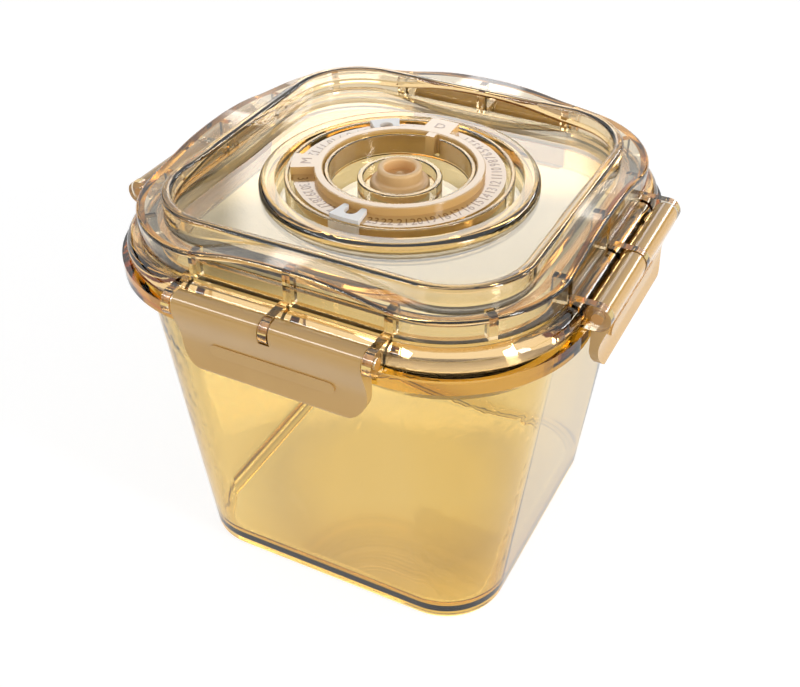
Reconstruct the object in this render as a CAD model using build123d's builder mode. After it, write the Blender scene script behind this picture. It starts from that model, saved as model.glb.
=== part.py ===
"""Square vacuum canister with a clear latched lid, a date dial and a vacuum valve.

Millimetres, +Z up. The origin is the centre of the base on the table, and the
front latch faces -Y.
"""
from math import cos, hypot, radians, sin
import os

from build123d import *

# Container: a drafted square tub with a wide flange round its mouth
base_half = 48.3
base_corner = 18.0
base_edge_radius = 1.4
floor_thickness = 3.0
floor_inner_radius = 4.0
foot_width = 4.2
foot_height = 1.0
tub_wall = 2.4
tub_top_half = 58.6
tub_top_corner = 29.5
mouth_corner = 28.6
band_height = 8.6
band_step = 2.3
band_corner = 33.0
flange_reach = 6.5
flange_corner = 38.0
flange_edge = 4.2
rim_height = 100.8

# Lid shell: skirt, brim, arched roof, rim bead and sunken panel
lid_gap = 0.3
skirt_reach = 1.4
skirt_corner = 33.3
skirt_wall = 2.2
brim_height = 5.3
brim_width = 3.6
brim_top_radius = 3.0
brim_foot_radius = 1.3
roof_height = 7.4
roof_thickness = 2.0
roof_edge_radius = 0.9
arch_rise = 3.5
arch_span_share = 0.617
arch_crown_share = 0.56
rim_rise = 3.9
shoulder_width = 8.1
rim_corner = 21.9
rim_width = 2.9
rim_radius = 1.2
panel_drop = 5.9
panel_thickness = 2.3
rib_thickness = 2.2
rib_place_share = 0.453

# Seal carrier and gasket under the lid
fit_gap = 0.1
plug_gap = 1.2
plug_wall = 2.2
plug_depth = 5.8
carrier_shelf = 2.0
carrier_top_gap = 0.2

# Date dial: a raised rim, a lower ledge for the numbers and two lettered blocks
hub_radius = 20.7
hub_wall = 1.4
hub_height = 6.3
dial_gap = 0.2
dial_seat_gap = 0.1
dial_rim_width = 2.4
dial_ledge_width = 5.6
dial_height = 7.0
dial_ledge_drop = 2.3
dial_ledge_thickness = 1.8
dial_skirt_wall = 1.5
dial_skirt_height = 3.5
dial_edge_radius = 0.35
block_reach = 0.7
day_block_width = 8.4
month_block_sweep = 16.0
month_block_angle = 201.5
key_width = 2.6
key_reach = 0.9
key_height = 6.0
notch_width = 4.4
notch_offset = 0.6

# The two sliders that clip on the dial's ledge
slider_fit = 0.12
slider_wall = 0.85
slider_sweep = 16.6
slider_prong_thickness = 1.3
slider_prong_width = 2.35
slider_prong_clearance = 0.3
slider_bridge = 2.2
slider_tip_radius = 0.6
slider_lip = 0.8
slider_lip_reach = 1.1
day_slider_angle = -91.6
month_slider_angle = 125.6

# Dial well in the panel: collar, floor and the other standing rings
guide_clearance = 1.2
guide_wall = 1.3
guide_height = 5.4
moat_width = 2.6
well_wall = 2.2
well_depth = 2.7
collar_width = 4.4
collar_rise = 2.2
collar_edge_radius = 1.9
pump_ring_radius = 11.67
pump_ring_wall = 1.7
pump_ring_height = 3.8
ring_edge_radius = 0.4

# Vacuum valve, moulded in silicone
stem_radius = 2.1
stem_clearance = 0.35
valve_cup_radius = 6.1
valve_cup_wall = 1.85
valve_cup_depth = 3.0
valve_nub_radius = 2.45
valve_skirt_width = 2.1
valve_skirt_height = 2.7
valve_height = 6.5
valve_edge_radius = 0.9
valve_rim_radius = 0.7
valve_seat_gap = 0.1
valve_bulb_radius = 3.3
valve_bulb_height = 1.4
valve_travel = 1.5
vent_radius = 0.9
vent_circle = 5.2
vent_count = 6

# Latches: lugs on the brim, a pin and a flap on each side
hinge_overhang = 2.2
lug_radius = 3.5
lug_rise = 0.6
lug_thickness = 2.4
lug_place_share = 0.461
lug_side_gap = 0.35
pin_radius = 1.5
pin_fit = 0.03
bore_running_fit = 0.06
roll_step = 0.2
latch_flange_gap = 0.3
flap_thickness = 2.4
flap_drop = 18.5
flap_flare = 0.9
flap_tip_radius = 0.9
flap_valley_share = 0.6
flap_corner_radius = 7.5
latch_bar_share = 0.672
latch_bar_width = 3.4
latch_bar_rise = 0.5

# Widths and radii that follow from the sizes above
side_turns = (0, 90, 180, 270)
corner_turns = (45, 135, 225, 315)
overrun = 1.0
tub_mouth_half = tub_top_half - tub_wall
floor_inner_half = base_half - tub_wall
flange_half = tub_top_half + flange_reach
skirt_half = tub_top_half + skirt_reach
skirt_inner_half = skirt_half - skirt_wall
skirt_inner_corner = skirt_corner - skirt_wall
arch_half_span = skirt_half * arch_span_share
rim_half = skirt_half - shoulder_width
rib_offset = skirt_half * rib_place_share
plug_half = tub_mouth_half - plug_gap
plug_corner = skirt_inner_corner - (skirt_inner_half - plug_half)
hub_inner_radius = hub_radius - hub_wall
dial_inner_radius = hub_radius + dial_gap
dial_rim_radius = dial_inner_radius + dial_rim_width
dial_ledge_radius = dial_rim_radius + dial_ledge_width
block_inner_radius = dial_inner_radius + dial_edge_radius
block_outer_radius = dial_ledge_radius + block_reach
guide_radius = dial_ledge_radius + guide_clearance + guide_wall
well_radius = guide_radius + moat_width
collar_radius = well_radius + collar_width
hinge_reach = flange_half + hinge_overhang
roll_radius = lug_radius - roll_step
lug_offset = skirt_half * lug_place_share
flap_half = lug_offset - lug_thickness / 2 - lug_side_gap
flap_inner = flange_half + latch_flange_gap

# Heights that follow, from the rim up
band_bottom = rim_height - band_height
lid_bottom = rim_height + lid_gap
ledge_level = lid_bottom + brim_height
roof_level = ledge_level + roof_height
arch_level = roof_level + arch_rise
rim_level = roof_level + rim_rise
panel_level = rim_level - panel_drop
panel_bottom = panel_level - panel_thickness
shelf_bottom = ledge_level - carrier_shelf
well_floor = panel_level - well_depth
well_bottom = well_floor - panel_thickness
collar_level = panel_level + collar_rise
dial_bottom = well_floor + dial_seat_gap
dial_level = dial_bottom + dial_height
dial_ledge_level = dial_level - dial_ledge_drop
dial_ledge_bottom = dial_ledge_level - dial_ledge_thickness
dial_skirt_bottom = dial_ledge_level - dial_skirt_height
hinge_level = rim_height + lug_rise + lug_radius
flap_tip_level = hinge_level - flap_drop
flap_valley_level = hinge_level - flap_drop * flap_valley_share


def block(half, corner, bottom, top, mode=Mode.ADD):
    """Add or cut a rounded square block between two levels."""
    with BuildSketch(Plane.XY.offset(bottom)) as level:
        RectangleRounded(2 * half, 2 * half, corner)
    extrude(level.sketch, amount=top - bottom, mode=mode)


def drafted(lower, upper, bottom, top, mode=Mode.ADD):
    """Add or cut a drafted block; lower and upper are (half, corner) pairs."""
    with BuildSketch(Plane.XY.offset(bottom)) as low:
        RectangleRounded(2 * lower[0], 2 * lower[0], lower[1])
    with BuildSketch(Plane.XY.offset(top)) as high:
        RectangleRounded(2 * upper[0], 2 * upper[0], upper[1])
    loft([low.sketch, high.sketch], ruled=True, mode=mode)


def disc(radius, bottom, top, mode=Mode.ADD):
    """Add or cut a round block between two levels."""
    with BuildSketch(Plane.XY.offset(bottom)) as level:
        Circle(radius)
    extrude(level.sketch, amount=top - bottom, mode=mode)


def tube(radius, wall, bottom, top):
    """Add a standing ring between two levels."""
    with BuildSketch(Plane.XY.offset(bottom)) as level:
        Circle(radius)
        Circle(radius - wall, mode=Mode.SUBTRACT)
    extrude(level.sketch, amount=top - bottom)


def edges_at(builder, level):
    """Every edge of the part that lies flat at one level."""
    return builder.edges().filter_by_position(Axis.Z, level, level)


def save(part, name):
    """Label one finished piece and write its STEP file."""
    part.label = name
    export_step(part, f"parts/{name}.step")


os.makedirs("parts", exist_ok=True)

# Hollow of the container, drafted as far as the band and straight above it
with BuildPart() as tub_hollow:
    drafted((floor_inner_half, base_corner - tub_wall), (tub_mouth_half, mouth_corner),
            floor_thickness, band_bottom)
    fillet(edges_at(tub_hollow, floor_thickness), floor_inner_radius)
    block(tub_mouth_half, mouth_corner, band_bottom, rim_height + overrun)

# Container
with BuildPart() as container:
    drafted((base_half, base_corner), (tub_top_half, tub_top_corner), 0, band_bottom)
    fillet(edges_at(container, 0), base_edge_radius)
    block(base_half - foot_width, base_corner - foot_width, 0, foot_height, mode=Mode.SUBTRACT)
    drafted((tub_top_half + band_step, band_corner), (flange_half, flange_corner),
            band_bottom, rim_height - flange_edge)
    block(flange_half, flange_corner, rim_height - flange_edge, rim_height)
    add(tub_hollow.part, mode=Mode.SUBTRACT)
save(container.part, "container")


def arch_blocks(bottom, crown):
    """Two crossing barrel roofs, each smooth from its foot to its crown."""
    shoulder = arch_half_span * arch_crown_share
    for plane in (Plane.XZ, Plane.YZ):
        with BuildSketch(plane) as arch:
            with BuildLine():
                Bezier((-arch_half_span, bottom), (-shoulder, bottom),
                       (-shoulder, crown), (0, crown))
                Bezier((0, crown), (shoulder, crown),
                       (shoulder, bottom), (arch_half_span, bottom))
                Line((arch_half_span, bottom), (-arch_half_span, bottom))
            make_face()
        extrude(arch.sketch, amount=skirt_half, both=True)


# Ribs that stand round the seal carrier: three to a side and one to a corner
with BuildPart() as lid_ribs:
    for turn in side_turns + corner_turns:
        with BuildSketch(Plane.XY.rotated((0, 0, turn)).offset(ledge_level + fit_gap)) as rib:
            for offset in (-rib_offset, 0, rib_offset) if turn in side_turns else (0,):
                with Locations((0, offset)):
                    Rectangle(2 * skirt_half, rib_thickness, align=(Align.MIN, Align.CENTER))
        extrude(rib.sketch, amount=arch_level - ledge_level)
    block(plug_half + fit_gap, plug_corner + fit_gap, ledge_level, arch_level + overrun,
          mode=Mode.SUBTRACT)

# Hollow between the skirt and the seal carrier, with the ribs left standing
with BuildPart() as roof_hollow:
    arch_blocks(roof_level - roof_thickness, arch_level - roof_thickness)
    block(skirt_inner_half, skirt_inner_corner, roof_level - roof_thickness, arch_level,
          mode=Mode.INTERSECT)
    block(skirt_inner_half, skirt_inner_corner, panel_bottom, roof_level - roof_thickness)
    block(rim_half, rim_corner, panel_bottom, arch_level, mode=Mode.SUBTRACT)
    block(skirt_inner_half, skirt_inner_corner, lid_bottom - overrun, panel_bottom)
    add(lid_ribs.part, mode=Mode.SUBTRACT)

# Brim round the foot of the skirt
with BuildPart() as brim:
    block(skirt_half + brim_width, skirt_corner + brim_width, lid_bottom, ledge_level)
    fillet(edges_at(brim, ledge_level), brim_top_radius)
    fillet(edges_at(brim, lid_bottom), brim_foot_radius)

# Rim bead round the sunken panel
with BuildPart() as panel_recess:
    block(rim_half - rim_width, rim_corner - rim_width, panel_level, rim_level + overrun)

with BuildPart() as rim_bead:
    block(rim_half, rim_corner, panel_bottom, rim_level)
    fillet(edges_at(rim_bead, rim_level), rim_radius)
    add(panel_recess.part, mode=Mode.SUBTRACT)
    fillet(edges_at(rim_bead, rim_level), rim_radius)

# Collar round the dial well
with BuildPart() as collar:
    disc(collar_radius, panel_bottom, collar_level)
    fillet(edges_at(collar, collar_level), collar_edge_radius)

# Skirt under the arched roof, rounded along the roof's wavy edge
with BuildPart() as arched_skirt:
    arch_blocks(roof_level, arch_level)
    block(skirt_half, skirt_corner, roof_level, arch_level, mode=Mode.INTERSECT)
    block(skirt_half, skirt_corner, lid_bottom, roof_level)
    curved_edges = arched_skirt.edges().filter_by(GeomType.LINE, reverse=True)
    fillet([edge for edge in curved_edges if edge.center().Z > roof_level - fit_gap
            and max(abs(edge.center().X), abs(edge.center().Y)) > arch_half_span],
           roof_edge_radius)

# Lid shell
with BuildPart() as lid_shell:
    add(arched_skirt.part)
    add(brim.part)
    for turn in side_turns:
        side_plane = Plane.XZ.rotated((0, 0, turn))
        for offset in (-lug_offset, 0, lug_offset):
            with BuildSketch(side_plane.offset(offset - lug_thickness / 2)) as lug:
                with Locations((hinge_reach, hinge_level)):
                    Circle(lug_radius)
                    Rectangle(hinge_reach - skirt_half, 2 * lug_radius,
                              align=(Align.MAX, Align.CENTER))
            extrude(lug.sketch, amount=lug_thickness)
        with BuildSketch(side_plane) as bore:
            with Locations((hinge_reach, hinge_level)):
                Circle(pin_radius + pin_fit)
        extrude(bore.sketch, amount=skirt_half, both=True, mode=Mode.SUBTRACT)
    add(panel_recess.part, mode=Mode.SUBTRACT)
    add(rim_bead.part)
    add(roof_hollow.part, mode=Mode.SUBTRACT)
    add(collar.part)
    disc(well_radius + well_wall, well_bottom, panel_bottom)
    disc(well_radius, well_floor, collar_level + overrun, mode=Mode.SUBTRACT)
    for radius, wall, height in ((guide_radius, guide_wall, guide_height),
                                 (hub_radius, hub_wall, hub_height),
                                 (pump_ring_radius, pump_ring_wall, pump_ring_height)):
        tube(radius, wall, well_floor, well_floor + height)
        fillet(edges_at(lid_shell, well_floor + height), ring_edge_radius)
    with BuildSketch(Plane.XY.offset(dial_level - key_height)) as notch:
        with Locations((notch_offset, hub_inner_radius - overrun)):
            Rectangle(notch_width, hub_wall + 2 * overrun, align=(Align.CENTER, Align.MIN))
    extrude(notch.sketch, amount=key_height, mode=Mode.SUBTRACT)
    disc(stem_radius + stem_clearance, well_bottom - overrun, well_floor + overrun,
         mode=Mode.SUBTRACT)
    with BuildSketch(Plane.XY.offset(well_bottom - overrun)) as vents:
        with PolarLocations(vent_circle, vent_count):
            Circle(vent_radius)
    extrude(vents.sketch, amount=panel_thickness + 2 * overrun, mode=Mode.SUBTRACT)
save(lid_shell.part, "lid_shell")

# Seal carrier: the plug wall and the shelf that backs the gasket
with BuildPart() as seal_carrier:
    block(skirt_inner_half - fit_gap, skirt_inner_corner - fit_gap, shelf_bottom, ledge_level)
    block(plug_half, plug_corner, rim_height - plug_depth, panel_bottom - carrier_top_gap)
    block(plug_half - plug_wall, plug_corner - plug_wall, rim_height - plug_depth - overrun,
          panel_bottom, mode=Mode.SUBTRACT)
save(seal_carrier.part, "seal_carrier")

# Gasket: a soft ring under the shelf, seated on the container's mouth
with BuildPart() as lid_gasket:
    block(skirt_inner_half - fit_gap, skirt_inner_corner - fit_gap, rim_height, shelf_bottom)
    block(plug_half + fit_gap, plug_corner + fit_gap, rim_height - overrun,
          shelf_bottom + overrun, mode=Mode.SUBTRACT)
save(lid_gasket.part, "lid_gasket")


def flap_section():
    """Section of the flap from its roll down to its tip, with a shallow valley."""
    outer = flap_inner + flap_thickness
    front = hinge_reach + roll_radius
    tip_bend_level = flap_tip_level + flap_tip_radius
    tip_out = outer + flap_flare
    tip_in = tip_out - 2 * flap_tip_radius
    with BuildLine() as outline:
        Bezier((front, hinge_level), (front, hinge_level - roll_radius),
               (outer, flap_valley_level + roll_radius), (outer, flap_valley_level))
        Bezier((outer, flap_valley_level), (outer, (flap_valley_level + flap_tip_level) / 2),
               (tip_out, tip_bend_level + flap_tip_radius), (tip_out, tip_bend_level))
        ThreePointArc((tip_out, tip_bend_level), (tip_out - flap_tip_radius, flap_tip_level),
                      (tip_in, tip_bend_level))
        Bezier((tip_in, tip_bend_level), (flap_inner, flap_tip_level + 2 * flap_thickness),
               (flap_inner, flap_valley_level - flap_tip_radius),
               (flap_inner, flap_valley_level))
        Line((flap_inner, flap_valley_level), (flap_inner, hinge_level))
        Line((flap_inner, hinge_level), (front, hinge_level))
    make_face(outline.edges())


# Outline that the flap is trimmed to, seen from its side, and the rolls' own round
with BuildPart() as flap_outline:
    with BuildSketch(Plane.YZ.offset(flange_half - overrun)) as face:
        with Locations((0, flap_tip_level)):
            Rectangle(2 * flap_half, flap_drop + 2 * roll_radius,
                      align=(Align.CENTER, Align.MIN))
        fillet(face.vertices().group_by(Axis.Y)[0], flap_corner_radius)
    extrude(face.sketch, amount=4 * lug_radius)
    with Locations((hinge_reach, 0, hinge_level)):
        Cylinder(roll_radius, 2 * flap_half, rotation=(90, 0, 0))

# One latch, built on the +X side, with room for the middle lug
with BuildPart() as latch:
    with BuildSketch(Plane.XZ) as section:
        flap_section()
        with Locations((hinge_reach, hinge_level)):
            Circle(roll_radius)
    extrude(section.sketch, amount=flap_half, both=True)
    add(flap_outline.part, mode=Mode.INTERSECT)
    with BuildSketch(Plane.YZ.offset(flap_inner + flap_tip_radius)) as bar:
        with Locations((0, flap_valley_level)):
            SlotOverall(2 * flap_half * latch_bar_share, latch_bar_width)
    extrude(bar.sketch, amount=flap_thickness - flap_tip_radius + latch_bar_rise)
    with Locations((hinge_reach, 0, hinge_level)):
        Cylinder(lug_radius + lug_side_gap, lug_thickness + 2 * lug_side_gap,
                 rotation=(90, 0, 0), mode=Mode.SUBTRACT)
        Cylinder(pin_radius + bore_running_fit, 2 * skirt_half, rotation=(90, 0, 0),
                 mode=Mode.SUBTRACT)
        Box(hinge_reach - skirt_half, lug_thickness + 2 * lug_side_gap,
            2 * (lug_radius + lug_side_gap), align=(Align.MAX, Align.CENTER, Align.CENTER),
            mode=Mode.SUBTRACT)

# One hinge pin, on the same side
with BuildPart() as latch_pin:
    with Locations((hinge_reach, 0, hinge_level)):
        Cylinder(pin_radius, 2 * lug_offset + lug_thickness, rotation=(90, 0, 0))

for side, turn in zip(("right", "back", "left", "front"), side_turns):
    save(latch.part.rotate(Axis.Z, turn), f"latch_{side}")
    save(latch_pin.part.rotate(Axis.Z, turn), f"latch_pin_{side}")


def ring_sector(inner, outer, sweep, centre_angle):
    """Sketch a part of a ring, from one radius to another, about an angle."""
    half = radians(sweep / 2)
    middle = radians(centre_angle)
    rays = [middle - half, middle, middle + half]
    near = [(inner * cos(ray), inner * sin(ray)) for ray in rays]
    far = [(outer * cos(ray), outer * sin(ray)) for ray in rays]
    with BuildLine() as outline:
        ThreePointArc(*near)
        Line(near[2], far[2])
        ThreePointArc(*reversed(far))
        Line(far[0], near[0])
    make_face(outline.edges())


# Blocks on the dial's ledge: the day block at the back, the month block at the left
with BuildPart() as dial_blocks:
    with BuildSketch(Plane.XY.offset(dial_ledge_bottom)) as pads:
        with Locations((0, block_inner_radius)):
            Rectangle(day_block_width, dial_ledge_radius, align=(Align.CENTER, Align.MIN))
        Circle(block_outer_radius, mode=Mode.INTERSECT)
        ring_sector(block_inner_radius, block_outer_radius, month_block_sweep,
                    month_block_angle)
    extrude(pads.sketch, amount=dial_level - dial_ledge_bottom)

# Date dial, with a key that drops into the hub's notch
with BuildPart() as date_dial:
    tube(dial_rim_radius, dial_rim_width, dial_bottom, dial_level)
    fillet(edges_at(date_dial, dial_level), dial_edge_radius)
    tube(dial_ledge_radius, dial_ledge_width + dial_edge_radius, dial_ledge_bottom,
         dial_ledge_level)
    tube(dial_ledge_radius, dial_skirt_wall, dial_skirt_bottom, dial_ledge_bottom)
    add(dial_blocks.part)
    with BuildSketch(Plane.XY.offset(dial_level - key_height)) as key:
        with Locations((0, hub_inner_radius - key_reach)):
            Rectangle(key_width, dial_inner_radius - hub_inner_radius + key_reach + fit_gap,
                      align=(Align.CENTER, Align.MIN))
    extrude(key.sketch, amount=key_height)
save(date_dial.part, "date_dial")


def slider(centre_angle):
    """A clip that hugs the ledge: outer plate, two prongs over it, a lip under it."""
    plate_in = dial_ledge_radius + slider_fit
    plate_out = plate_in + slider_wall
    overlap_in = plate_in + slider_fit
    prong_bottom = dial_ledge_level + slider_fit
    prong_top = prong_bottom + slider_prong_thickness
    prong_tip = dial_rim_radius + slider_prong_clearance
    lip_bottom = dial_skirt_bottom - slider_fit - slider_lip
    gap_width = 2 * (plate_in * sin(radians(slider_sweep / 2)) - slider_prong_width)
    gap_reach = plate_out - slider_bridge - prong_tip
    with BuildSketch() as gap:
        with Locations((prong_tip, 0)):
            SlotOverall(2 * gap_reach, gap_width)
    with BuildPart() as clip:
        with BuildSketch(Plane.XY.offset(lip_bottom)) as plate:
            ring_sector(plate_in, plate_out, slider_sweep, centre_angle)
        extrude(plate.sketch, amount=prong_top - lip_bottom)
        with BuildSketch(Plane.XY.offset(lip_bottom)) as lip:
            ring_sector(plate_in - slider_lip_reach, overlap_in, slider_sweep, centre_angle)
        extrude(lip.sketch, amount=slider_lip)
        with BuildSketch(Plane.XY.offset(prong_bottom)) as fork:
            ring_sector(prong_tip, overlap_in, slider_sweep, centre_angle)
            add(gap.sketch, rotation=centre_angle, mode=Mode.SUBTRACT)
            tips = [corner for corner in fork.vertices()
                    if hypot(corner.X, corner.Y) < prong_tip + fit_gap]
            fillet(tips, slider_tip_radius)
        extrude(fork.sketch, amount=slider_prong_thickness)
    return clip.part


save(slider(day_slider_angle), "day_slider")
save(slider(month_slider_angle), "month_slider")

# Vacuum valve: skirt, cup with a nub, and a stem with a retaining bulb
valve_bottom = well_floor + valve_seat_gap
valve_top = valve_bottom + valve_height
bulb_top = well_bottom - valve_seat_gap - valve_travel
with BuildPart() as valve_plug:
    disc(valve_cup_radius + valve_skirt_width, valve_bottom, valve_bottom + valve_skirt_height)
    disc(valve_cup_radius, valve_bottom, valve_top)
    fillet(edges_at(valve_plug, valve_bottom + valve_skirt_height), valve_edge_radius)
    disc(valve_cup_radius - valve_cup_wall, valve_top - valve_cup_depth, valve_top, mode=Mode.SUBTRACT)
    fillet(edges_at(valve_plug, valve_top), valve_rim_radius)
    with Locations((0, 0, valve_top - valve_cup_depth)):
        Sphere(valve_nub_radius, arc_size1=0)
    disc(stem_radius, bulb_top - valve_bulb_height, valve_bottom)
    disc(valve_bulb_radius, bulb_top - valve_bulb_height, bulb_top)
save(valve_plug.part, "valve_plug")
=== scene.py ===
"""Looks of a square vacuum canister: clear amber tub and lid, beige latches and date dial."""
import math

import bmesh
import bpy
from mathutils import Matrix, Vector


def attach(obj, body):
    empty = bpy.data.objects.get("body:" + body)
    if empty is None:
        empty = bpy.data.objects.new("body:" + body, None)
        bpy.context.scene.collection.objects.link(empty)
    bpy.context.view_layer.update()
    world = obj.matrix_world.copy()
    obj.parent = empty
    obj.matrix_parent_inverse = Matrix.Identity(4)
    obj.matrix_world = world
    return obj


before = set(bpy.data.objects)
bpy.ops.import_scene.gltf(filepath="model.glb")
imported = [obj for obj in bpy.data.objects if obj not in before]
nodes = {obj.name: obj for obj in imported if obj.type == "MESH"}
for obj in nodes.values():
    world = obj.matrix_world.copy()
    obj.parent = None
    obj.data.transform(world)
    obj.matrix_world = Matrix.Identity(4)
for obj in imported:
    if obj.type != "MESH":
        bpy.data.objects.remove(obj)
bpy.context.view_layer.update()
scene = bpy.context.scene

# Camera: the photograph is taken from above the front right, about 350 mm from the
# canister's middle, with a normal lens and hardly any roll.
camera_place = (0.127666, -0.247144, 0.265542)
camera_right = (0.88999965, 0.45592426, -0.0058042)
camera_up = (-0.27060533, 0.53840244, 0.79805737)
camera_back = (0.36697871, -0.70870013, 0.60255352)
camera = bpy.data.objects.new("photo_camera", bpy.data.cameras.new("photo_camera"))
scene.collection.objects.link(camera)
camera.matrix_world = Matrix.Translation(camera_place) @ Matrix(
    (camera_right, camera_up, camera_back)).transposed().to_4x4()
camera.data.sensor_width, camera.data.lens = 36, 51.924
camera.data.clip_start = 0.01
scene.camera = camera


# Container: one injection moulding in clear amber copolyester, with a draft of more than
# six degrees, a rounded foot and a wide flange round its mouth for the latches to hook.
flow_length, flow_depth, wave_strength = 0.014, 0.0004, 0.004
copolyester_ior, dullest_roughness = 1.55, 0.006
dye_depth = 0.006


def srgb(code):
    """Linear colour of an sRGB hex value."""
    parts = [int(code[i:i + 2], 16) / 255 for i in (0, 2, 4)]
    return [p / 12.92 if p <= 0.04045 else ((p + 0.055) / 1.055) ** 2.4 for p in parts] + [1]


def add(tree, kind, settings=(), links=()):
    """Add a node, set its values or its sockets' values, and link what comes in."""
    node = tree.nodes.new(kind)
    for name, value in dict(settings).items():
        if isinstance(name, int) or name in node.inputs:
            node.inputs[name].default_value = value
        else:
            setattr(node, name, value)
    for name, source in dict(links).items():
        tree.links.new(source, node.inputs[name])
    return node


def new_material(name):
    """An empty node material, its tree and the place of each point on the object."""
    material = bpy.data.materials.new(name)
    material.use_nodes = True
    tree = material.node_tree
    tree.nodes.clear()
    return material, tree, add(tree, "ShaderNodeTexCoord").outputs["Object"]


# Moulded copolyester, dyed amber through: the skin is polished by the mould, with
# faint flow waves about 14 mm long, and the dye shows where light runs far inside.
def clear_plastic(name, dye):
    """dye is what is left of white light after dye_depth inside the plastic."""
    material, tree, place = new_material(name)
    flow = add(tree, "ShaderNodeTexNoise",
               {"Scale": 1 / flow_length, "Detail": 1.0, "Roughness": 0.4}, {"Vector": place})
    polish = add(tree, "ShaderNodeMapRange",
                 {"From Min": 0.3, "From Max": 0.7, "To Min": 0.0, "To Max": dullest_roughness},
                 {"Value": flow.outputs["Fac"]})
    wave = add(tree, "ShaderNodeBump", {"Strength": wave_strength, "Distance": flow_depth},
               {"Height": flow.outputs["Fac"]})
    surface = add(tree, "ShaderNodeBsdfPrincipled",
                  {"Base Color": (1, 1, 1, 1), "IOR": copolyester_ior,
                   "Transmission Weight": 1.0},
                  {"Roughness": polish.outputs["Result"], "Normal": wave.outputs["Normal"]})
    losses = [-math.log(share) / dye_depth for share in srgb(dye)[:3]]
    density = max(losses)
    inside = add(tree, "ShaderNodeVolumeAbsorption",
                 {"Color": [1 - loss / density for loss in losses] + [1], "Density": density})
    add(tree, "ShaderNodeOutputMaterial", (), {"Surface": surface.outputs["BSDF"],
                                               "Volume": inside.outputs["Volume"]})
    return material


def dress(node, material):
    """Give a CAD node one material in every slot."""
    for slot in nodes[node].material_slots:
        slot.material = material


tub_plastic = clear_plastic("moulded_amber_copolyester_tub", "EACE80")
dress("container", tub_plastic)

# Lid shell: skirt, arched roof, panel and date well in one moulding of a paler amber
# copolyester, and under it the seal carrier, a second moulding snapped into the ribs.
lid_plastic = clear_plastic("moulded_amber_copolyester_lid", "F1E0C0")
dress("lid_shell", lid_plastic)
dress("seal_carrier", lid_plastic)

# Gasket: a lip ring moulded in translucent silicone, pressed on the seal carrier.
# Silicone scatters light, so it looks milky, with a dull satin skin.
silicone_ior, milk_cloud_size, dimple_depth = 1.41, 0.003, 0.0002
material, tree, place = new_material("translucent_silicone")
cloud = add(tree, "ShaderNodeTexNoise",
            {"Scale": 1 / milk_cloud_size, "Detail": 2.0}, {"Vector": place})
milk = add(tree, "ShaderNodeMix", {"data_type": "RGBA", 6: srgb("F0E7D4"), 7: srgb("F8F2E6")},
           {"Factor": cloud.outputs["Fac"]})
dull = add(tree, "ShaderNodeMapRange", {"To Min": 0.28, "To Max": 0.4},
           {"Value": cloud.outputs["Fac"]})
skin = add(tree, "ShaderNodeBump", {"Strength": 0.05, "Distance": dimple_depth},
           {"Height": cloud.outputs["Fac"]})
surface = add(tree, "ShaderNodeBsdfPrincipled",
              {"IOR": silicone_ior, "Transmission Weight": 0.85},
              {"Base Color": milk.outputs[2], "Roughness": dull.outputs["Result"],
               "Normal": skin.outputs["Normal"]})
add(tree, "ShaderNodeOutputMaterial", (), {"Surface": surface.outputs["BSDF"]})
dress("lid_gasket", material)


# Latches: four flaps injection moulded in beige ABS, each turning on a pin in the
# lid's lugs. Moulded ABS has a satin skin, a faint grain and slightly cloudy colour.
abs_ior, coat_roughness = 1.54, 0.06
pit_depth, satin_spread = 0.00006, 0.04


def moulded(name, pale, deep, sheen, grain, cloud_size=0.012, coat=0.0):
    """An opaque moulding: two near colours in clouds, and a grain; sizes in metres."""
    material, tree, place = new_material(name)
    clouds = add(tree, "ShaderNodeTexNoise", {"Scale": 1 / cloud_size, "Detail": 2.0},
                 {"Vector": place})
    pits = add(tree, "ShaderNodeTexNoise", {"Scale": 1 / grain, "Detail": 1.0},
               {"Vector": place})
    colour = add(tree, "ShaderNodeMix", {"data_type": "RGBA", 6: srgb(deep), 7: srgb(pale)},
                 {"Factor": clouds.outputs["Fac"]})
    satin = add(tree, "ShaderNodeMapRange",
                {"From Min": 0.3, "From Max": 0.7,
                 "To Min": sheen - satin_spread, "To Max": sheen + satin_spread},
                {"Value": pits.outputs["Fac"]})
    skin = add(tree, "ShaderNodeBump", {"Strength": 0.03, "Distance": pit_depth},
               {"Height": pits.outputs["Fac"]})
    surface = add(tree, "ShaderNodeBsdfPrincipled",
                  {"IOR": abs_ior, "Coat Weight": coat, "Coat Roughness": coat_roughness},
                  {"Base Color": colour.outputs[2], "Roughness": satin.outputs["Result"],
                   "Normal": skin.outputs["Normal"]})
    add(tree, "ShaderNodeOutputMaterial", (), {"Surface": surface.outputs["BSDF"]})
    return material


latch_plastic = moulded("moulded_beige_abs", "CCA362", "C49A58", sheen=0.09, grain=0.0004)
# Pins are turned from amber acetal, a slippery plastic with a soft gloss.
pin_plastic = moulded("turned_amber_acetal", "C8924A", "B9803C", sheen=0.2, grain=0.0003)
for side in ("front", "right", "back", "left"):
    dress(f"latch_{side}", latch_plastic)
    dress(f"latch_pin_{side}", pin_plastic)

# Date dial: one ring moulded in the same beige ABS, keyed to a notch in the lid's hub. Its
# mould is polished, so a glossier skin shows the soft light behind as a pale sheen.
dial_plastic = moulded("glossy_beige_abs", "D4AB6C", "CCA262", sheen=0.13, grain=0.0003,
                       coat=0.5)
dress("date_dial", dial_plastic)

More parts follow.
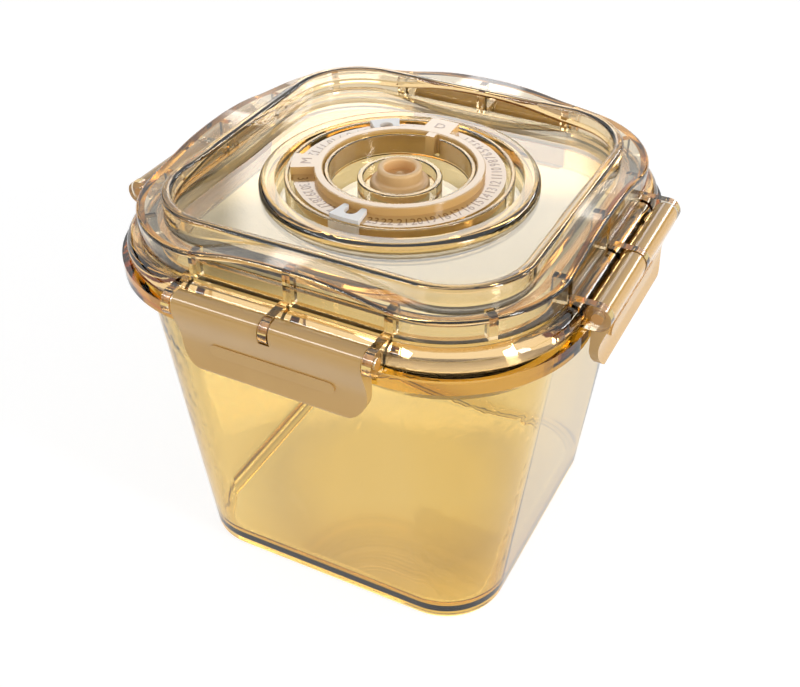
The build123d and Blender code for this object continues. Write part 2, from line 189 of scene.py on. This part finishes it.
# Numbers and letters on the dial: days to the right of its day block and months to the
# left, hot stamped in a thin golden-brown foil with a quarter of it sunk in the plastic.
# The day block stands at 90 degrees, and the days from 10 on are spaced wider.
foil = moulded("hot_stamped_bronze_foil", "8C5C22", "7E5018", sheen=0.2, grain=0.0002,
               cloud_size=0.001, coat=0.3)
foil_half_thickness = 0.00003
digit_height, letter_height = 0.0029, 0.0028
digit_width_share, letter_width_share = 0.8, 1.1
ledge_level, block_level = 0.1139, 0.1162
digit_circle, letter_circle = 0.0263, 0.0256
first_day_angle, day_step = 72.5, 4.64
tenth_day_angle, wide_day_step = 29, 8.24
first_month_angle, month_step = 108.6, 5.9
late_months = [("10", 164), ("11", 173), ("12", 182.5)]
block_marks = [("D", 90), ("M", 201.5)]


def stamp(bm, text, height, angle, circle, level, outwards, width_share):
    """Add a text to a mesh, flat at a level, with its top outwards or to the centre."""
    line = bpy.data.curves.new("stamp", "FONT")
    line.body = text
    line.resolution_u = 3
    line.extrude = foil_half_thickness
    letters = bpy.data.objects.new("stamp", line)
    mesh = bpy.data.meshes.new_from_object(letters)
    low = Vector([min(v.co[i] for v in mesh.vertices) for i in range(3)])
    high = Vector([max(v.co[i] for v in mesh.vertices) for i in range(3)])
    scale = height / (high.y - low.y)
    turn = math.radians(angle)
    out = Vector((math.cos(turn), math.sin(turn), 0))
    up = out if outwards else -out
    right = Vector((up.y, -up.x, 0))
    middle = out * circle + Vector((0, 0, level + foil_half_thickness / 2))
    mesh.transform(
        Matrix.Translation(middle)
        @ Matrix((right, up, (0, 0, 1))).transposed().to_4x4()
        @ Matrix.Diagonal((scale * width_share, scale, 1, 1))
        @ Matrix.Translation((-(low.x + high.x) / 2, -(low.y + high.y) / 2, 0)))
    bm.from_mesh(mesh)
    bpy.data.objects.remove(letters)
    bpy.data.curves.remove(line)
    bpy.data.meshes.remove(mesh)


def printed(name, marks, height, circle, level, outwards, width_share):
    """One piece from a list of texts and the angles at which they stand on the dial."""
    bm = bmesh.new()
    for text, angle in marks:
        stamp(bm, text, height, angle, circle, level, outwards, width_share)
    mesh = bpy.data.meshes.new(name)
    bm.to_mesh(mesh)
    bm.free()
    mesh.materials.append(foil)
    piece = bpy.data.objects.new(name, mesh)
    scene.collection.objects.link(piece)
    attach(piece, "lid")


days = [(str(day), first_day_angle - day_step * (day - 1)) for day in range(1, 10)]
days += [(str(day), tenth_day_angle - wide_day_step * (day - 10)) for day in range(10, 32)]
months = [(str(month), first_month_angle + month_step * (month - 1)) for month in range(1, 10)]
printed("day_numbers", days, digit_height, digit_circle, ledge_level, False,
        digit_width_share)
printed("month_numbers", months + late_months, digit_height, digit_circle, ledge_level,
        False, digit_width_share)
printed("block_letters", block_marks, letter_height, letter_circle, block_level, True,
        letter_width_share)

# Sliders: two clips moulded in white polypropylene, which snap round the dial's ledge.
# Polypropylene is slightly waxy, with a soft, milky gloss.
slider_plastic = moulded("moulded_white_polypropylene", "F5F3F0", "EDEBE8", sheen=0.32,
                         grain=0.0003)
dress("day_slider", slider_plastic)
dress("month_slider", slider_plastic)

# Valve: one soft plug moulded in beige silicone, pulled through the lid by its stem.
# Silicone has a matt, slightly waxy skin.
valve_silicone = moulded("moulded_beige_silicone", "EFC68C", "E6BB80", sheen=0.42,
                         grain=0.0005, cloud_size=0.004)
dress("valve_plug", valve_silicone)

# Floor: plain pale paper just under the canister's foot. Seen straight or in a gloss it is
# white and keeps the shadow.
# Seen through the plastic it glows with painted light in place of what the amber walls throw on
# it: a painted gold pool round the foot and forwards, and a painted shadow behind.
floor_half, floor_gap = 3, 0.0002
floor_glow = 0.82
pool_edge = 0.3
# Painted light: the colours of a pool of amber light round the foot, by distance from the
# middle.
painted_pool_colours = ((0.025, (0.84, 0.7, 0.4, 1)), (0.04, (0.72, 0.62, 0.46, 1)),
                (0.05, (0.88, 0.78, 0.56, 1)), (0.06, (1.0, 0.93, 0.8, 1)),
                (0.098, (1.0, 0.96, 0.88, 1)), (pool_edge, (0.85, 0.85, 0.85, 1)))
away_from_camera = (-0.46, 0.888, 0)
# Painted shadow: a dim patch on the floor behind the canister.
dim_middle, dim_turn, dim_reach = (-0.064, 0.136, 0), 117.4, (0.6, 1.9, 1)
dim_edge, painted_shadow_colour = (0.05, 0.09), (0.28, 0.3, 0.36, 1)
amber_edge, painted_forward_light = (-0.045, -0.01), (0.93, 0.78, 0.34, 1)
shadow_grey, white = (0.35, 0.35, 0.35, 1), (1, 1, 1, 1)

bm = bmesh.new()
bmesh.ops.create_grid(bm, x_segments=1, y_segments=1, size=floor_half)
bmesh.ops.translate(bm, verts=bm.verts, vec=(0, 0, -floor_gap))
floor_mesh = bpy.data.meshes.new("floor")
bm.to_mesh(floor_mesh)
bm.free()
floor = bpy.data.objects.new("floor", floor_mesh)
scene.collection.objects.link(floor)
material, tree, place = new_material("studio_floor")
rays = add(tree, "ShaderNodeLightPath")
straight = add(tree, "ShaderNodeMath", {"operation": "MAXIMUM"},
               {0: rays.outputs["Is Camera Ray"], 1: rays.outputs["Is Glossy Ray"]})
paper = add(tree, "ShaderNodeBsdfDiffuse", {"Color": srgb("E8E8E8")})
shadow_paper = add(tree, "ShaderNodeBsdfDiffuse", {"Color": shadow_grey})
glow = add(tree, "ShaderNodeEmission", {"Color": white, "Strength": floor_glow})
seen = add(tree, "ShaderNodeAddShader", (), {0: shadow_paper.outputs["BSDF"],
                                             1: glow.outputs["Emission"]})
plain = add(tree, "ShaderNodeMixShader", (), {0: straight.outputs["Value"],
                                              1: paper.outputs["BSDF"],
                                              2: seen.outputs["Shader"]})
reach = add(tree, "ShaderNodeVectorMath", {"operation": "LENGTH"}, {0: place}).outputs["Value"]
pool_share = add(tree, "ShaderNodeMapRange", {"From Max": pool_edge}, {"Value": reach})
pool = add(tree, "ShaderNodeValToRGB", (), {"Fac": pool_share.outputs["Result"]})
stops = pool.color_ramp.elements
stops[0].position, stops[0].color = painted_pool_colours[0][0] / pool_edge, painted_pool_colours[0][1]
stops[1].position, stops[1].color = 1.0, painted_pool_colours[-1][1]
for radius, colour in painted_pool_colours[1:-1]:
    stops.new(radius / pool_edge).color = colour
behind = add(tree, "ShaderNodeMapping",
             {"vector_type": "TEXTURE", "Location": dim_middle,
              "Rotation": (0, 0, math.radians(dim_turn)), "Scale": dim_reach},
             {"Vector": place})
off_middle = add(tree, "ShaderNodeVectorMath", {"operation": "LENGTH"},
                 {0: behind.outputs["Vector"]}).outputs["Value"]
dim_share = add(tree, "ShaderNodeMapRange",
                {"interpolation_type": "SMOOTHSTEP",
                 "From Min": dim_edge[0], "From Max": dim_edge[1]}, {"Value": off_middle})
dim = add(tree, "ShaderNodeMix", {"data_type": "RGBA", 6: painted_shadow_colour, 7: white},
          {"Factor": dim_share.outputs["Result"]})
# Painted light: the amber that the tub throws forwards, painted on the floor in front of it.
forward = add(tree, "ShaderNodeVectorMath", {"operation": "DOT_PRODUCT", 1: away_from_camera},
              {0: place}).outputs["Value"]
amber_share = add(tree, "ShaderNodeMapRange",
                  {"From Min": amber_edge[0], "From Max": amber_edge[1]}, {"Value": forward})
amber = add(tree, "ShaderNodeMix", {"data_type": "RGBA", 6: painted_forward_light, 7: white},
            {"Factor": amber_share.outputs["Result"]})
# The painted pool, shadow and forward light together glow from the floor where it is seen
# through the plastic.
painted_thrown_light = pool.outputs["Color"]
for veil in (dim, amber):
    painted_thrown_light = add(tree, "ShaderNodeMix", {"data_type": "RGBA", "blend_type": "MULTIPLY", 0: 1.0},
                 {6: painted_thrown_light, 7: veil.outputs[2]}).outputs[2]
through = add(tree, "ShaderNodeEmission", (), {"Color": painted_thrown_light})
whole = add(tree, "ShaderNodeMixShader", (), {0: rays.outputs["Is Transmission Ray"],
                                              1: plain.outputs["Shader"],
                                              2: through.outputs["Emission"]})
add(tree, "ShaderNodeOutputMaterial", (), {"Surface": whole.outputs["Shader"]})
floor.data.materials.append(material)

# Room: white all round. Clear edges and glosses show a dark band low on its walls, open
# behind the canister and warm where it is seen through the amber plastic, and matt
# pieces are lit more from the sides than from above. Heights are sines of elevations.
band_bottom, band_top = (0.16, 0.175), (0.32, 0.335)
band_opening = (0.8, 0.88)
room_white, band_black = (1.3, 1.3, 1.3, 1), (0.01, 0.01, 0.01, 1)
band_warm = (0.22, 0.075, 0.015, 1)
side_height, side_level = 0.22, (1.8, 1.8, 1.8, 1)
top_height, top_level = 0.6, (0.25, 0.25, 0.25, 1)

scene.world = bpy.data.worlds.new("studio")
scene.world.use_nodes = True
tree = scene.world.node_tree
tree.nodes.clear()
way = add(tree, "ShaderNodeTexCoord").outputs["Generated"]
height = add(tree, "ShaderNodeSeparateXYZ", (), {"Vector": way}).outputs["Z"]
rays = add(tree, "ShaderNodeLightPath")
band = add(tree, "ShaderNodeValToRGB", (), {"Fac": height})
stops = band.color_ramp.elements
stops[0].position, stops[0].color = band_bottom[0], white
stops[1].position, stops[1].color = band_top[1], white
stops.new(band_bottom[1]).color = (0, 0, 0, 1)
stops.new(band_top[0]).color = (0, 0, 0, 1)
away = add(tree, "ShaderNodeVectorMath", {"operation": "DOT_PRODUCT", 1: away_from_camera},
           {0: way}).outputs["Value"]
opening = add(tree, "ShaderNodeMapRange",
              {"From Min": band_opening[0], "From Max": band_opening[1]}, {"Value": away})
open_share = add(tree, "ShaderNodeMath", {"operation": "MAXIMUM"},
                 {0: band.outputs["Color"], 1: opening.outputs["Result"]})
dark = add(tree, "ShaderNodeMix", {"data_type": "RGBA", 6: band_black, 7: band_warm},
           {"Factor": rays.outputs["Is Transmission Ray"]})
walls = add(tree, "ShaderNodeMix", {"data_type": "RGBA", 7: room_white},
            {"Factor": open_share.outputs["Value"], 6: dark.outputs[2]})
side_light = add(tree, "ShaderNodeValToRGB", (), {"Fac": height})
stops = side_light.color_ramp.elements
stops[0].position, stops[0].color = side_height, side_level
stops[1].position, stops[1].color = top_height, top_level
lit = add(tree, "ShaderNodeMix", {"data_type": "RGBA"},
          {"Factor": rays.outputs["Is Diffuse Ray"], 6: walls.outputs[2],
           7: side_light.outputs["Color"]})
clear = add(tree, "ShaderNodeMix", {"data_type": "RGBA", 7: white},
            {"Factor": rays.outputs["Is Camera Ray"], 6: lit.outputs[2]})
sky = add(tree, "ShaderNodeBackground", {"Strength": 1.0}, {"Color": clear.outputs[2]})
add(tree, "ShaderNodeOutputWorld", (), {"Surface": sky.outputs["Background"]})

# Soft card: a large card with faded edges behind the canister, across from the camera,
# so that it lies as a pale sheen on the panel and the dial, which face up.
card_size, card_watts, card_distance, card_fade = (0.48, 0.31), 1.3, 1.1, 0.1
card_way = Vector((-0.3777, 0.7744, 0.5075))
card_across = Vector((0.8988, 0.4384, 0))
card_up = Vector((0.2225, -0.4562, 0.8616))
lid_middle = Vector((0, 0, 0.1))
card_shift = card_across * -0.005 - card_up * 0.027


def area_lamp(name, size, watts, lights_matt_pieces):
    """A rectangular lamp; one that doesn't light matt pieces shows in clear and glossy ones."""
    lamp = bpy.data.objects.new(name, bpy.data.lights.new(name, "AREA"))
    scene.collection.objects.link(lamp)
    lamp.data.shape = "RECTANGLE"
    lamp.data.size, lamp.data.size_y = size
    lamp.data.energy = watts
    lamp.visible_diffuse = lights_matt_pieces
    return lamp


card = area_lamp("soft_card", card_size, card_watts, False)
card.matrix_world = Matrix.Translation(
    lid_middle + card_way * card_distance + card_shift) @ Matrix(
    (-card_across, card_up, card_way)).transposed().to_4x4()
card.data.use_nodes = True
tree = card.data.node_tree
tree.nodes.clear()
spot = add(tree, "ShaderNodeSeparateXYZ", (),
           {"Vector": add(tree, "ShaderNodeNewGeometry").outputs["Parametric"]})
fades = []
for axis in "XY":
    from_edge = add(tree, "ShaderNodeMath", {"operation": "PINGPONG", 1: 0.5},
                    {0: spot.outputs[axis]})
    fades.append(add(tree, "ShaderNodeMapRange",
                     {"interpolation_type": "SMOOTHSTEP", "From Max": card_fade},
                     {"Value": from_edge.outputs["Value"]}).outputs["Result"])
fade = add(tree, "ShaderNodeMath", {"operation": "MULTIPLY"}, {0: fades[0], 1: fades[1]})
light = add(tree, "ShaderNodeEmission", (), {"Strength": fade.outputs["Value"]})
add(tree, "ShaderNodeOutputLight", (), {"Surface": light.outputs["Emission"]})

# Strips of light: one on the right for the side that faces it, and two long ones that
# lie as fine lines along the latches' rolls and the lid's rim.
for name, spot, size, watts, lights_matt_pieces in (
        ("right_strip", (0.62, -0.12, 0.3), (0.1, 0.4), 1.7, True),
        ("front_line", (-0.33, -0.54, 0.64), (0.7, 0.1), 2.6, False),
        ("back_line", (0.5, 0.6, 0.45), (0.7, 0.1), 2.6, False)):
    strip = area_lamp(name, size, watts, lights_matt_pieces)
    strip.location = spot
    strip.rotation_euler = (Vector(spot) - lid_middle).to_track_quat("Z", "Y").to_euler()

scene.view_settings.view_transform = "Standard"
